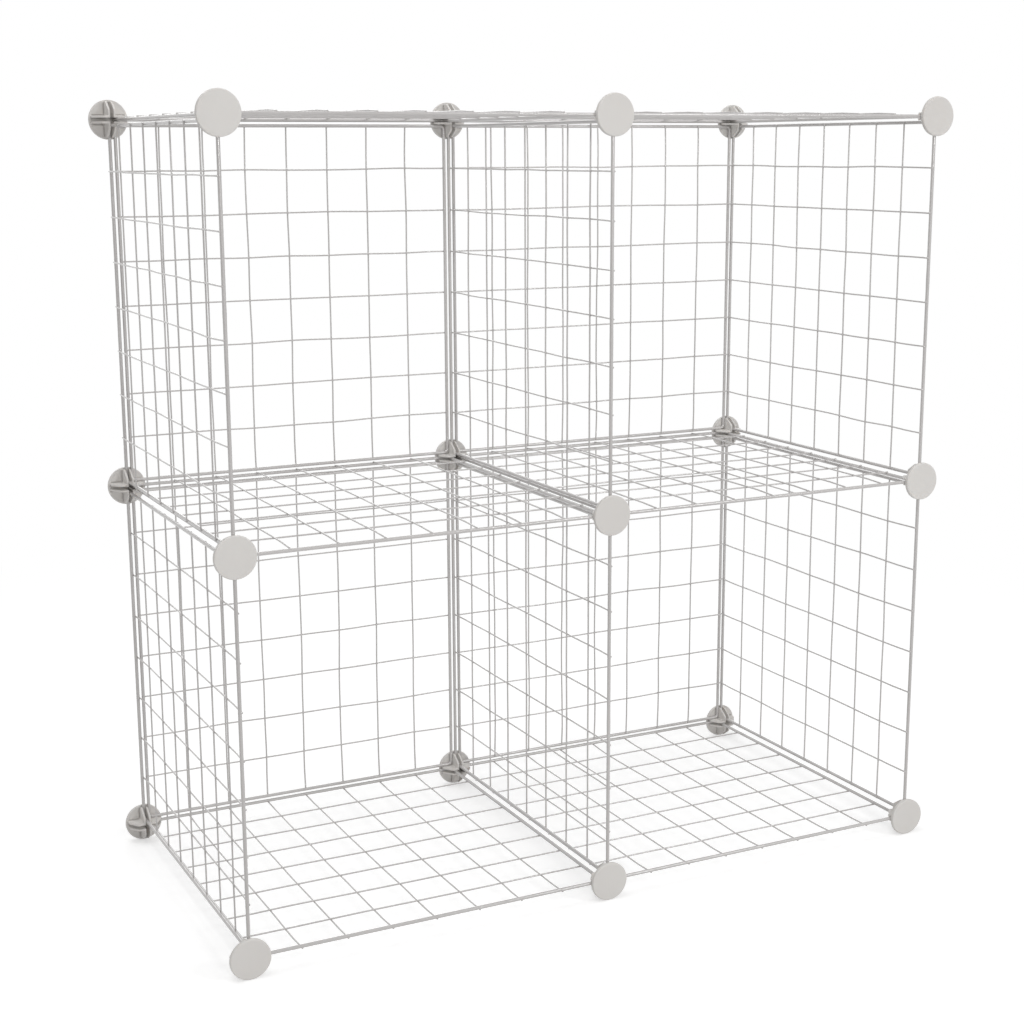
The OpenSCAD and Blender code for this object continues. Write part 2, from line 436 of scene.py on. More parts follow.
def shade_group():
    """Colour and roughness that drift over the object, as batches, handling and dust leave them.

    Colour = a blend of Colour A and Colour B by a slow noise. Roughness = a blend of Smooth and
    Rough by a finer noise.
    """
    group, given, result = new_group(
        "slow_shade",
        [
            ("Colour A", "NodeSocketColor", (0.5, 0.5, 0.5, 1)),
            ("Colour B", "NodeSocketColor", (0.6, 0.6, 0.6, 1)),
            ("Drift Scale", "NodeSocketFloat", 6),
            ("Rub Scale", "NodeSocketFloat", 60),
            ("Smooth", "NodeSocketFloat", 0.4),
            ("Rough", "NodeSocketFloat", 0.5),
        ],
        [("Colour", "NodeSocketColor"), ("Roughness", "NodeSocketFloat")],
    )
    place = group.nodes.new("ShaderNodeTexCoord")
    drift = node(group, "ShaderNodeTexNoise", Detail=2.0, Roughness=0.5)
    rub = node(group, "ShaderNodeTexNoise", Detail=3.0, Roughness=0.55)
    spread = node(group, "ShaderNodeMapRange", **DRIFT_STRETCH)
    level = node(group, "ShaderNodeMapRange", **RUB_STRETCH)
    blend = group.nodes.new("ShaderNodeMix")
    blend.data_type = "RGBA"
    colour_in = [s for s in blend.inputs if s.type == "RGBA"]
    colour_out = [s for s in blend.outputs if s.type == "RGBA"][0]
    link_up(
        group,
        (place.outputs["Object"], drift.inputs["Vector"]),
        (place.outputs["Object"], rub.inputs["Vector"]),
        (given.outputs["Drift Scale"], drift.inputs["Scale"]),
        (given.outputs["Rub Scale"], rub.inputs["Scale"]),
        (drift.outputs[0], spread.inputs["Value"]),
        (spread.outputs["Result"], blend.inputs[0]),
        (given.outputs["Colour A"], colour_in[0]),
        (given.outputs["Colour B"], colour_in[1]),
        (rub.outputs[0], level.inputs["Value"]),
        (given.outputs["Smooth"], level.inputs["To Min"]),
        (given.outputs["Rough"], level.inputs["To Max"]),
        (colour_out, result.inputs["Colour"]),
        (level.outputs["Result"], result.inputs["Roughness"]),
    )
    return group


slow_shade = shade_group()
print("group", slow_shade.name, "has", len(slow_shade.nodes), "nodes")

# %% [markdown]
# ### Powder coat
#
# Powder coat is a thick, tough skin, a little uneven where it ran and dulled where it was
# handled. It could be one plain grey with one roughness, but a wire like that looks like a
# drawn line. Here the two groups feed a Principled shader, and a clear coat on top of it makes
# the gloss. Its IOR is above the 1.5 or so of a real lacquer, so that the mirroring still shows
# on a wire this thin. What is the same all over the wire stays a plain value on the shader.

# %% One recipe for both finishes
def finish(name, shade, grain, bump, plain):
    """A Principled material: slow shade drives colour and roughness, grain drives the bump.

    plain holds the sockets that are the same all over the surface, which stay on the shader.
    """
    material = bpy.data.materials.new(name)
    material.use_nodes = True
    tree = material.node_tree
    shader = tree.nodes["Principled BSDF"]
    shade_node = tree.nodes.new("ShaderNodeGroup")
    shade_node.node_tree = slow_shade
    grain_node = tree.nodes.new("ShaderNodeGroup")
    grain_node.node_tree = skin_grain
    for made, values in ((shade_node, shade), (grain_node, grain), (shader, plain)):
        for label, value in values.items():
            made.inputs[label].default_value = value
    relief = node(tree, "ShaderNodeBump", **bump)
    link_up(
        tree,
        (shade_node.outputs["Colour"], shader.inputs["Base Color"]),
        (shade_node.outputs["Roughness"], shader.inputs["Roughness"]),
        (grain_node.outputs["Height"], relief.inputs["Height"]),
        (relief.outputs["Normal"], shader.inputs["Normal"]),
    )
    return material


powder_coat = finish(
    "powder_coat",
    shade={
        "Colour A": (0.45, 0.43, 0.42, 1),
        "Colour B": (0.51, 0.49, 0.48, 1),
        "Drift Scale": 9,
        "Rub Scale": 140,
        "Smooth": 0.34,
        "Rough": 0.48,
    },
    grain={"Swell Scale": 900, "Swell": 1.0, "Fine Scale": 5200, "Fine": 0.25},
    bump={"Strength": 0.35, "Distance": 0.00012},
    plain={
        "Specular IOR Level": 0.6,
        "Coat Weight": 1.0,
        "Coat Roughness": 0.16,
        "Coat IOR": 1.8,
    },
)
print("powder coat:", len(powder_coat.node_tree.nodes), "nodes")

# %% [markdown]
# ### Frosted plastic
#
# Light sinks a little way into a milky plastic and comes out beside the point where it went in,
# which softens thin ribs and edges. Plain diffuse paint would look like chalk, and full
# subsurface scattering like wax. So the same recipe gets a small share of scattering that
# reaches two millimetres. In its skin the fine grain outweighs the swell, and on the coat the
# swell outweighs the grain.

# %% Milky moulded plastic
frosted_plastic = finish(
    "frosted_plastic",
    shade={
        "Colour A": (0.675, 0.65, 0.625, 1),
        "Colour B": (0.715, 0.695, 0.67, 1),
        "Drift Scale": 5,
        "Rub Scale": 90,
        "Smooth": 0.42,
        "Rough": 0.55,
    },
    grain={"Swell Scale": 260, "Swell": 0.35, "Fine Scale": 3600, "Fine": 1.0},
    bump={"Strength": 0.25, "Distance": 0.00010},
    plain={
        "Specular IOR Level": 0.45,
        "Subsurface Weight": 0.15,
        "Subsurface Radius": (1.0, 0.9, 0.8),
        "Subsurface Scale": 0.002,
    },
)
print("frosted plastic:", len(frosted_plastic.node_tree.nodes), "nodes")

# %% [markdown]
# ## From grids of points to a mesh
#
# Every new surface here is a *shell*: rows of points, each row a closed loop. A wire is a row
# of rings along its path, and a moulded rib is a row of cross-sections. A shell either closes
# into a ring, like the edge wire, or ends in a pole at each end, where a fan of triangles
# closes it. Many equal shells are kept in one array, so seven wires cost one sum and not
# seven, and no loop ever runs over the points.
#
# The rule that keeps the outside out: (along the rows) x (along the loop) points outwards.

# %% Helpers for shells
def unit(vectors):
    """The same directions, one long."""
    return vectors / np.linalg.norm(vectors, axis=-1, keepdims=True)


def shell_faces(count, rows, cols, ring):
    """Corner numbers of the faces of shells that lie one after another, then their poles.

    A four-sided face goes row i to row i + 1, then column j to j + 1. The last column meets the
    first. On a ring the last row meets the first too. Otherwise fans of triangles end in poles.
    """
    points = np.arange(count * rows * cols).reshape(count, rows, cols)
    here = points if ring else points[:, :-1]
    there = np.roll(points, -1, axis=1) if ring else points[:, 1:]
    next_here, next_there = np.roll(here, -1, axis=2), np.roll(there, -1, axis=2)
    quads = np.stack([here, there, next_there, next_here], axis=-1)
    if ring:
        return quads.reshape(-1, 4), np.zeros((0, 3), int)
    poles = points.size + np.arange(2 * count).reshape(count, 2, 1)
    first, last = points[:, 0], points[:, -1]
    start = np.broadcast_to(poles[:, 0], first.shape)
    end = np.broadcast_to(poles[:, 1], last.shape)
    fans = [
        np.stack([first, np.roll(first, -1, axis=1), start], axis=-1),
        np.stack([np.roll(last, -1, axis=1), last, end], axis=-1),
    ]
    return quads.reshape(-1, 4), np.concatenate(fans).reshape(-1, 3)


def shell(points, ring=False):
    """(points, quads, triangles) of an array (shells, rows, columns, 3) or of one shell of it.

    A pole is the mean of its end row's points.
    """
    points = points if points.ndim == 4 else points[None]
    count, rows, cols, _ = points.shape
    quads, tris = shell_faces(count, rows, cols, ring)
    flat = points.reshape(-1, 3)
    if not ring:
        poles = points[:, [0, -1]].mean(axis=2).reshape(-1, 3)
        flat = np.concatenate([flat, poles])
    return flat, quads, tris


def joined(shells):
    """Several (points, quads, triangles) as one, with the corner numbers moved on."""
    starts = np.cumsum([0] + [len(points) for points, _, _ in shells[:-1]])
    points = np.concatenate([points for points, _, _ in shells])
    quads = np.concatenate([quads + start for (_, quads, _), start in zip(shells, starts)])
    tris = np.concatenate([tris + start for (_, _, tris), start in zip(shells, starts)])
    return points, quads, tris


print("one shell of 3 rows by 4 has", len(shell_faces(1, 3, 4, False)[0]), "four-sided faces")

# %% [markdown]
# A Blender mesh holds its points, its corners and its faces in long flat lists. They could be
# added one by one, but foreach_set takes a whole list at once, which is far quicker. Each new
# object then takes the place of one CAD node. It stays at the origin, with its place in its
# mesh, so that a pattern on Object coordinates is laid over the whole unit and never repeats.

# %% From arrays to an object
def mesh_from(name, points, quads, tris, material):
    """A smooth-shaded mesh, filled in one go from the arrays."""
    mesh = bpy.data.meshes.new(name)
    corners = np.concatenate([quads.ravel(), tris.ravel()]).astype(np.int32)
    sides = np.concatenate([np.full(len(quads), 4), np.full(len(tris), 3)])
    starts = np.concatenate([[0], np.cumsum(sides)[:-1]]).astype(np.int32)
    mesh.vertices.add(len(points))
    mesh.vertices.foreach_set("co", points.astype(np.float32).ravel())
    mesh.loops.add(len(corners))
    mesh.loops.foreach_set("vertex_index", corners)
    mesh.polygons.add(len(sides))
    mesh.polygons.foreach_set("loop_start", starts)
    mesh.polygons.foreach_set("use_smooth", np.ones(len(sides), bool))
    mesh.materials.append(material)
    mesh.update(calc_edges=True)
    if mesh.validate():
        print("mended a fault in", name)
    return mesh


def stand_in(cad_node, kind, arrays, material):
    """Puts a finished surface into the scene in place of a CAD node, riding on the one body."""
    name = f"{cad_node}_{kind}"
    piece = bpy.data.objects.new(name, mesh_from(name, *arrays, material))
    bpy.context.scene.collection.objects.link(piece)
    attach(piece, "root")
    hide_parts(cad_node)


print("the CAD model has", len(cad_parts), "nodes to replace")

# %% [markdown]
# ## Drawn wire
#
# Steel wire is drawn through a die, straightened and cut. What is left is a round rod that
# wanders a little, because each weld pulls on it as it cools. A curve object with a round
# bevel would give a perfect rod. Carrying a ring of points along a path gives the same rod,
# but lets its radius change on the way: powder melts, runs and is held in the corners, so a
# coated wire is a hair thicker on both sides of each weld.

# %% A round wire along a path
GRID_SIDES = 12
EDGE_SIDES = 24
COAT_RISE = 0.10 * MM  # full swell of the coat beside a weld
COAT_REACH = 1.3 * MM
COAT_ON_GRID = 0.8  # share of the full swell on a thin wire
COAT_ON_EDGE = 0.4  # and on the thick one
# how far from a weld a wire gets a ring, and at what shares of the way to the next weld
WELD_RINGS = np.array([-2.8, -1.5, -0.8, 0, 0.8, 1.5, 2.8]) * MM
SPARSE_RINGS = np.array([0.25, 0.5, 0.75])


def tube(path, radius, up, sides, ring=False):
    """A ring of points round each point of a path, or of many paths at once.

    Point = path + radius * (cos(angle) * side + sin(angle) * top), where side and top stand at
    right angles to the way the path runs.
    """
    if ring:
        way = unit(np.roll(path, -1, axis=-2) - np.roll(path, 1, axis=-2))
    else:
        way = unit(np.gradient(path, axis=-2))
    side = unit(np.cross(way, up))
    top = np.cross(side, way)
    angle = 2 * np.pi * np.arange(sides)[:, None] / sides
    round_it = np.cos(angle) * side[..., None, :] + np.sin(angle) * top[..., None, :]
    return path[..., None, :] + radius[..., None, None] * round_it


def coat_thickness(along, welds):
    """Extra radius near welds: the sum of COAT_RISE * e^-(distance / COAT_REACH)^2 over them."""
    away = (along[..., None] - welds) / COAT_REACH
    return COAT_RISE * np.exp(-(away**2)).sum(axis=-1)


def stations(welds, reach):
    """Places along a wire where it gets a ring: close together at welds, and sparse between.

    Place = weld + each of WELD_RINGS, and weld + gap to the next weld * each of SPARSE_RINGS.
    """
    close = (welds[:, None] + WELD_RINGS).ravel()
    between = (welds[:-1, None] + np.diff(welds)[:, None] * SPARSE_RINGS).ravel()
    every = np.sort(np.concatenate([close, between]))
    return every[np.abs(every) < reach]


print("one wire gets", len(stations(crossings, grid_half)), "rings between its ends")

# %% How a thin wire wanders
BOW = 0.35 * MM  # size of the slow bends over a whole wire
KINK = 0.16 * MM  # size of the pull at each weld
WAVES = 4


def wander(along, count, chance):
    """Sideways drift of many wires: slow sine waves plus a small random pull at each weld.

    The waves are sin(k * pi * place / half_w + phase) for k = 1 to WAVES, smaller as k grows.
    Between two welds, a pull passes smoothly into the next by 3 s^2 - 2 s^3, where s is the
    share of the way. All of it shrinks to nothing over the last cell before the edge wire.
    """
    k = np.arange(1, WAVES + 1)
    phase = chance.uniform(0, 2 * np.pi, (count, 1, WAVES))
    size = chance.normal(0, BOW, (count, 1, WAVES)) / k
    waves = (size * np.sin(k * np.pi * along[None, :, None] / half_w + phase)).sum(axis=-1)
    pulls = chance.normal(0, KINK, (count, CELLS + 1))
    span = (along + half_w) / cell_pitch
    left = np.clip(np.floor(span).astype(int), 0, CELLS - 1)
    share = np.clip(span - left, 0, 1)
    share = share * share * (3 - 2 * share)
    pulled = pulls[:, left] * (1 - share) + pulls[:, left + 1] * share
    calm = np.clip((half_w - np.abs(along)) / cell_pitch, 0, 1)
    return (waves + pulled) * calm


print(f"wires bow by about {BOW / MM} mm and are pulled {KINK / MM} mm at welds")

# %% [markdown]
# ## A welded panel
#
# A panel is made in two steps. A thick wire is bent into a square with round corners and its
# ends are butt-welded. Then thin wires are laid over it in two layers, seven each way, and
# every crossing is spot-welded by electrodes that press the wires a little into each other.
# The outer layer lies over the inner one, so each of its wires comes down over the last 24 mm
# to reach the edge wire. It is cut a little short of that wire's outer side, so no end catches.
#
# The panel is worked out flat, about its own centre, with the thin wires on its +Z side.

# %% The edge wire
BUTT_WELD_RISE = 0.14 * MM
BUTT_WELD_REACH = 1.4 * MM
BEND_ROWS = 13


def lap_points():
    """Where the thin wires' ends lie on the edge wire: seven to a side."""
    side = np.array([-half_w, half_w])
    across, along = np.meshgrid(side, crossings)
    z = np.full(across.shape, EDGE_R - WELD_SINK / 2)
    one_way = np.stack([across, along, z], axis=-1).reshape(-1, 3)
    other_way = np.stack([along, across, z], axis=-1).reshape(-1, 3)
    return np.concatenate([one_way, other_way])


def edge_path():
    """A square with round corners, as one closed row of points.

    It starts near the left end of the -Y side. Each side is a straight stretch with rings close
    to its welds, and each corner is a quarter circle. One side and one corner are worked out,
    and the rest are the same, turned by 90, 180 and 270 degrees.
    """
    straight = half_w - CORNER_R
    spots = stations(crossings, straight)
    side = np.stack([spots, np.full(len(spots), -half_w)], axis=1)
    bend = np.radians(np.linspace(-90, 0, BEND_ROWS))
    corner = CORNER_R * np.stack([np.cos(bend), np.sin(bend)], axis=1)
    quarter = np.concatenate([side, straight * np.array([1, -1]) + corner])
    turns = [turned(2, 90 * n)[:2, :2] for n in range(4)]
    flat = np.concatenate([quarter @ turn.T for turn in turns])
    return np.concatenate([flat, np.zeros((len(flat), 1))], axis=1)


def edge_wire():
    """The thick wire: its coat swells at each lap, and its butt weld leaves a faint bead.

    Both are bell curves, rise * e^-(distance / reach)^2, round the nearest lap and the bead.
    """
    path = edge_path()
    away = np.linalg.norm(path[:, None, :2] - lap_points()[:, :2], axis=-1).min(axis=1)
    bead = np.linalg.norm(path[:, :2] - np.array([cell_pitch / 2, -half_w]), axis=1)
    radius = EDGE_R + COAT_ON_EDGE * COAT_RISE * np.exp(-((away / COAT_REACH) ** 2))
    radius = radius + BUTT_WELD_RISE * np.exp(-((bead / BUTT_WELD_REACH) ** 2))
    return shell(tube(path, radius, (0, 0, 1), EDGE_SIDES, ring=True), ring=True)


print("edge wire:", len(edge_wire()[1]), "faces")

# %% The thin wires
END_RINGS = np.array([0.0, 0.10, 0.30, 0.55]) * MM  # how far the last rings lie from a cut end
END_GAP = 0.2 * MM  # other rings keep this far from them
END_LEAST = 0.12  # floor under the square of a ring's fullness, so that no ring shrinks to a point


def rounded_ends(along):
    """Adds rings at both ends and says how full each ring is, so that a cut end is softened.

    The coat rounds the sharp cut. Fullness follows a quarter of an ellipse, as the square root
    of 1 - (1 - distance from the cut / depth of the rounding)^2.
    """
    ends = grid_half - END_RINGS[::-1]
    middle = along[np.abs(along) < ends[0] - END_GAP]
    places = np.concatenate([-ends[::-1], middle, ends])
    away = grid_half - np.abs(places)
    full = np.sqrt(np.clip(1 - (1 - np.clip(away / END_RINGS[-1], 0, 1)) ** 2, END_LEAST, 1))
    return places, full


def layer_height(along, outer):
    """Height of a wire's centre: level, and on an outer wire a straight slope down at both ends."""
    if not outer:
        return np.full(len(along), inner_layer)
    down = np.clip((np.abs(along) - (half_w - SLOPE_LEN)) / SLOPE_LEN, 0, None)
    return outer_layer - (outer_layer - inner_layer) * down


def thin_wires(outer, chance):
    """Seven wires of one layer: inner wires run along X, outer wires along Y."""
    welds = np.concatenate([[-half_w], crossings, [half_w]])
    bends = np.array([-1, 1]) * (half_w - SLOPE_LEN)
    rings = np.sort(np.concatenate([stations(welds, grid_half), bends]))
    along, full = rounded_ends(rings)
    drift = crossings[:, None] + wander(along, len(crossings), chance)
    line = np.broadcast_to(along, drift.shape)
    height = np.broadcast_to(layer_height(along, outer), drift.shape)
    path = np.stack([drift, line, height] if outer else [line, drift, height], axis=-1)
    radius = (GRID_R + coat_thickness(along, welds) * COAT_ON_GRID) * full
    return path, shell(tube(path, np.broadcast_to(radius, drift.shape), (0, 0, 1), GRID_SIDES))


print("one layer:", len(thin_wires(True, np.random.default_rng(1))[1][1]), "faces")

# %% [markdown]
# ### The welds themselves
#
# Where two round wires cross, they touch at one point, and a spot weld squeezes a little
# metal out around it. The coat then fills the narrow corners. That shows as a small soft nub.
# It could be cut out of the wires with a Boolean, but there are more than a thousand of them,
# so each is a flattened ball of a few dozen faces, set between its two wires.

# %% Weld nubs
NUB_ROWS = 5
NUB_SIDES = 10
NUB_END = 72  # degrees above and below its middle at which a nub's last rings lie
NUB_SPREAD = (0.9, 1.12)  # least and greatest size of a nub against the named one
CROSSING_NUB = (1.05 * MM, 0.55 * MM)  # half width and half height
LAP_NUB = (1.25 * MM, 0.6 * MM)


def nubs(centres, width, height, chance):
    """Flattened balls at the given points: x and y follow a circle, z a lower half-axis.

    Point = centre + (w cos(a) cos(b), w cos(a) sin(b), h sin(a)), each a little wider or lower.
    """
    a = np.radians(np.linspace(-NUB_END, NUB_END, NUB_ROWS))[:, None]
    b = -2 * np.pi * np.arange(NUB_SIDES) / NUB_SIDES
    x, y, z = np.broadcast_arrays(np.cos(a) * np.cos(b), np.cos(a) * np.sin(b), np.sin(a))
    ball = np.stack([x, y, z], axis=-1)
    size = np.array([width, width, height]) * chance.uniform(*NUB_SPREAD, (len(centres), 3))
    return shell(centres[:, None, None, :] + ball * size[:, None, None, :])


def crossing_points(inner_path, outer_path):
    """Where each inner wire passes each outer one, halfway between their centre lines."""
    along = inner_path[0, :, 0]
    nearest = np.argmin(np.abs(along[:, None] - crossings), axis=0)
    y = inner_path[:, nearest, 1]
    x = outer_path[:, nearest, 0]
    z = np.full(x.shape, (inner_layer + outer_layer) / 2)
    return np.stack([x.T, y, z], axis=-1).reshape(-1, 3)


def panel_surface(seed):
    """All the shells of one panel, flat about its centre."""
    chance = np.random.default_rng(seed)
    inner_path, inner = thin_wires(False, chance)
    outer_path, outer = thin_wires(True, chance)
    welds = nubs(crossing_points(inner_path, outer_path), *CROSSING_NUB, chance)
    laps = nubs(lap_points(), *LAP_NUB, chance)
    return joined([edge_wire(), inner, outer, welds, laps])


example = panel_surface(0)
print("one panel:", 2 * len(example[1]) + len(example[2]), "triangles")

# %% [markdown]
# ### Sixteen panels in their places
#
# All panels are the same product. What differs is the way each was pushed in: a grid can lie
# on either side of its edge wire. A panel's box in the CAD frame gives its middle, the way it
# stands and the side of its grid. Sixteen copies of one mesh would be quicker to make, but the
# eye soon finds the same kink twice. Each panel gets its own seed, so no two wander alike.

# %% Which way each panel stands
connectors = sorted(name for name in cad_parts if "connector" in name)
connector_middles = np.array([np.mean(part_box(name), axis=0) for name in connectors])


def panel_axes(name):
    """The panel's own X, Y and Z axes in the unit, as rows. Z is the side with the thin wires.

    The panel lies across the axis along which its box is thinnest. The box reaches further to
    the side of the thin wires, so its middle lies on that side of the edge wire's plane. That
    plane holds the middles of connectors, or for a back panel it is at the panels' back edge.
    """
    low, high = box_corners(name)
    across = int(np.argmin(high - low))
    planes = np.array([half_w]) if across == 1 else connector_middles[:, across]
    beyond = (low + high)[across] / 2 - planes
    facing = np.sign(beyond[np.argmin(np.abs(beyond))])
    if across == 1:
        return np.array([(1, 0, 0), (0, 0, -facing), (0, facing, 0)])
    if across == 0:
        return np.array([(0, 0, -facing), (0, 1, 0), (facing, 0, 0)])
    return np.array([(1, 0, 0), (0, facing, 0), (0, 0, facing)])


def panel_origin(name, axes):
    """The middle of the panel in the plane of its edge wire."""
    low, high = box_corners(name)
    thickness = np.abs(axes[2] @ (high - low))
    return (low + high) / 2 - axes[2] * (thickness / 2 - EDGE_R)


panels = sorted(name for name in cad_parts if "panel" in name)
print("the first panel,", panels[0] + ", has its thin wires towards", panel_axes(panels[0])[2])

# %% Place the panels
FIRST_SEED = 100

for seed, name in enumerate(panels, FIRST_SEED):
    axes = panel_axes(name)
    points, quads, tris = panel_surface(seed)
    placed = panel_origin(name, axes) + points @ axes
    stand_in(name, "wires", (placed, quads, tris), powder_coat)
print(len(panels), "panels placed")

# %% [markdown]
# ## A moulded connector
#
# A connector is one injection moulding: a round disc, and on its inner side four tall L-shaped
# ribs. Two panels that cross at a right angle are pinched in the straight slots between the
# ribs, and a panel that lies flat on the disc runs along the ribs' outer sides. Small ridges
# snap over the wires on both sides. The ribs stand in a sunken cross, because plastic that is
# thick where ribs meet a plate would shrink and leave a dent in the outer face.
#
# The CAD solid has these forms with sharp edges. A bevel on it would need every edge to be
# found and sorted. It is simpler to work each form out again as a section carried along a
# path, with its fillets in the section, because a mould's edges are all rounded alike.

# %% The disc
FILLET = 0.3 * MM  # rounding of moulded edges
SUPPORT = 0.12 * MM  # a row this far from a fillet keeps the flat beside it looking flat
DISC_SIDES = 96
FLAT_ROWS = np.array([0.25, 0.6, 0.85])  # rows on a flat face, as shares of the cross's reach
RIM_ROWS = 9
FILLET_ROWS = 4
INNER_ROWS = 3  # rows of the fillet at the foot of the plain ring


def arc(start, end, rows):
    """Cosine and sine of evenly spaced angles, in degrees."""
    angle = np.radians(np.linspace(start, end, rows))
    return np.cos(angle), np.sin(angle)


def rounded(r, z, radius, start, end, rows):
    """Part of a profile: an arc about (r, z), with a point a little before it and after it.

    Point = (r + radius cos(a), z + radius sin(a)), and the two extra points go straight on.
    """
    c, s = arc(start, end, rows)
    bend = np.stack([r + radius * c, z + radius * s], axis=1)
    lead = SUPPORT * np.array([(s[0], -c[0]), (-s[-1], c[-1])]) * np.sign(end - start)
    return np.concatenate([bend[:1] + lead[:1], bend, bend[-1:] + lead[1:]])


def disc():
    """A profile turned about the disc's axis: out along the outer face, over the rim, and back.

    On the way back it drops from the plain ring to the floor of the recess. Point =
    (r cos(a), r sin(a), z) for each (r, z) of the profile.
    """
    spread = FLAT_ROWS[:, None] * [ring_in, 0]
    profile = np.concatenate([
        spread + [0, -DISC_T],
        rounded(disc_r - RIM_R, RIM_R - DISC_T, RIM_R, -90, 0, RIM_ROWS),
        rounded(disc_r - FILLET, -FILLET, FILLET, 0, 90, FILLET_ROWS),
        rounded(ring_in + FILLET, -FILLET, FILLET, 90, 180, FILLET_ROWS),
        rounded(ring_in - FILLET, FILLET - RECESS_H, FILLET, 0, -90, INNER_ROWS),
        spread[::-1] + [0, -RECESS_H],
    ])
    angle = -2 * np.pi * np.arange(DISC_SIDES) / DISC_SIDES
    r, z = profile[:, :1], profile[:, 1:]
    return shell(np.stack(np.broadcast_arrays(r * np.cos(angle), r * np.sin(angle), z), axis=-1))


print("disc:", len(disc()[1]), "faces")

# %% [markdown]
# ### The ribs
#
# A rib is a wall about two millimetres thick, bent into an L, with its upper edges rounded as
# moulded edges are. It could be two boxes with a Bevel modifier, but its top slopes and its two
# ends follow the disc's round rim, and a bevel pinches where such faces meet. Here one
# cross-section is drawn first and then stretched between the rib's two edges in plan.

# %% A rib's cross-section
TOP_COLS = 6
EDGE_ROWS = 5  # rows of an upper edge's arc
FOOT_ROWS = 4
ROOT = 0.4 * MM  # how deep a foot reaches into the disc


def rib_section():
    """The section from the outer side over the top to the slot side, as four rows of numbers.

    share is the place across the rib, from 0 at the outer side to 1 at the slot. inset is how
    far a point has moved in from its own wall. level is measured up from the recess's floor
    where from_disc is true, on the lower part of a wall, and down from the rib's top elsewhere.

    Both walls are alike. The upper edge is a quarter circle. At the foot, the wall leans out by
    FILLET cos(a) while it rises by FILLET (1 - sin(a)), with a from 90 to 0 degrees, and draws
    back above that. So a low lip runs round the foot.
    """
    c, s = arc(180, 90, EDGE_ROWS)
    foot_c, foot_s = arc(90, 0, FOOT_ROWS)
    wall = [(-FILLET, -ROOT, 1)]
    wall += [(-FILLET * a, FILLET * (1 - b), 1) for a, b in zip(foot_c, foot_s)]
    wall += [(0, FILLET + SUPPORT, 1), (0, FILLET + SUPPORT, 0)]
    wall += [(FILLET * (1 + a), FILLET * (1 - b), 0) for a, b in zip(c, s)]
    wall += [(FILLET + SUPPORT, 0, 0)]
    wall = np.array(wall)
    middle = np.linspace(0, 1, TOP_COLS + 2)[1:-1]
    share = np.concatenate([np.zeros(len(wall)), middle, np.ones(len(wall))])
    inset = np.concatenate([wall[:, 0], np.full(TOP_COLS, FILLET + SUPPORT), wall[::-1, 0]])
    level = np.concatenate([wall[:, 1], np.zeros(TOP_COLS), wall[::-1, 1]])
    from_disc = np.concatenate([wall[:, 2], np.zeros(TOP_COLS), wall[::-1, 2]]).astype(bool)
    return share, inset, level, from_disc


print("rib section:", len(rib_section()[0]), "points")

# %% A rib's outline and height
LEG_ROWS = 9
CORNER_ROWS = 7
TIP_ROWS = 5
TOP_TURN = 0.6 * MM  # how softly the level top turns into the slope


def rib_top(r):
    """Height of the ribs: full up to RIB_TOP_R, then a straight slope, with a soft turn between.

    Height = RIB_H - slope * (root of (beyond^2 + TOP_TURN^2) + beyond) / 2, where beyond is how
    far r lies past RIB_TOP_R.
    """
    slope = (RIB_H - RIB_END_H) / (rib_end_r - RIB_TOP_R)
    beyond = r - RIB_TOP_R
    return RIB_H - slope * (np.sqrt(beyond**2 + TOP_TURN**2) + beyond) / 2


def rail(wall, ends, tip):
    """One edge of the L in plan, from one leg's end to the other: (points, ways to the slots).

    It runs in along y = wall, round a small arc in the corner and out along x = wall. Point on
    the arc = its centre + RIB_CORNER_R (cos(a), sin(a)), with a from 270 to 180 degrees. The
    ways are one long and point from the rib into the slots beside it.
    """
    turn = wall + RIB_CORNER_R
    run = np.linspace(0, 1, LEG_ROWS)[1:-1]
    x = np.concatenate([ends - tip, ends - tip[-1] + (turn - ends + tip[-1]) * run])
    leg = np.stack([x, np.full(len(x), wall)], axis=1)
    c, s = arc(270, 180, CORNER_ROWS)
    bend = turn + RIB_CORNER_R * np.stack([c, s], axis=1)
    down = np.tile([0.0, -1.0], (len(x), 1))
    ways = np.concatenate([down, np.stack([c, s], axis=1), down[:, ::-1]])
    return np.concatenate([leg, bend, leg[::-1, ::-1]]), ways


print(f"a rib is {rib_top(0) / MM:.1f} mm high in the middle of the disc")
print(f"and {rib_top(rib_end_r) / MM:.1f} mm high at its ends")

# %% A whole rib
def rib():
    """One L-shaped rib: the section stretched between two rails, from one leg's end to the other.

    Point = a blend of the outer rail and the slot's, each moved in by the section's inset. The
    height follows the distance from the disc's axis, and both ends are rounded like the edges.
    """
    c, s = arc(90, 0, TIP_ROWS)
    tip = np.concatenate([FILLET * (1 - s), [FILLET + SUPPORT]])
    drawn = FILLET * (1 - c)
    drawn = np.concatenate([drawn, np.zeros(2 * LEG_ROWS - 2 + CORNER_ROWS), drawn[::-1]])[:, None]
    outer, into = rail(rib_outer, np.sqrt(rib_end_r**2 - rib_outer**2), tip)
    slot, back = rail(slot_half, np.sqrt(rib_end_r**2 - slot_half**2), tip)
    share, inset, level, from_disc = rib_section()
    inward = (inset + drawn)[..., None]
    from_outer = outer[:, None] + into[:, None] * inward
    from_slot = slot[:, None] - back[:, None] * inward
    plan = from_outer * (1 - share[:, None]) + from_slot * share[:, None]
    top = rib_top(np.hypot(plan[..., 0], plan[..., 1])) - drawn
    z = np.where(from_disc, level - RECESS_H, top - level)
    return np.concatenate([plan, z[..., None]], axis=-1)


print("one rib:", rib().shape[0] * rib().shape[1], "points")

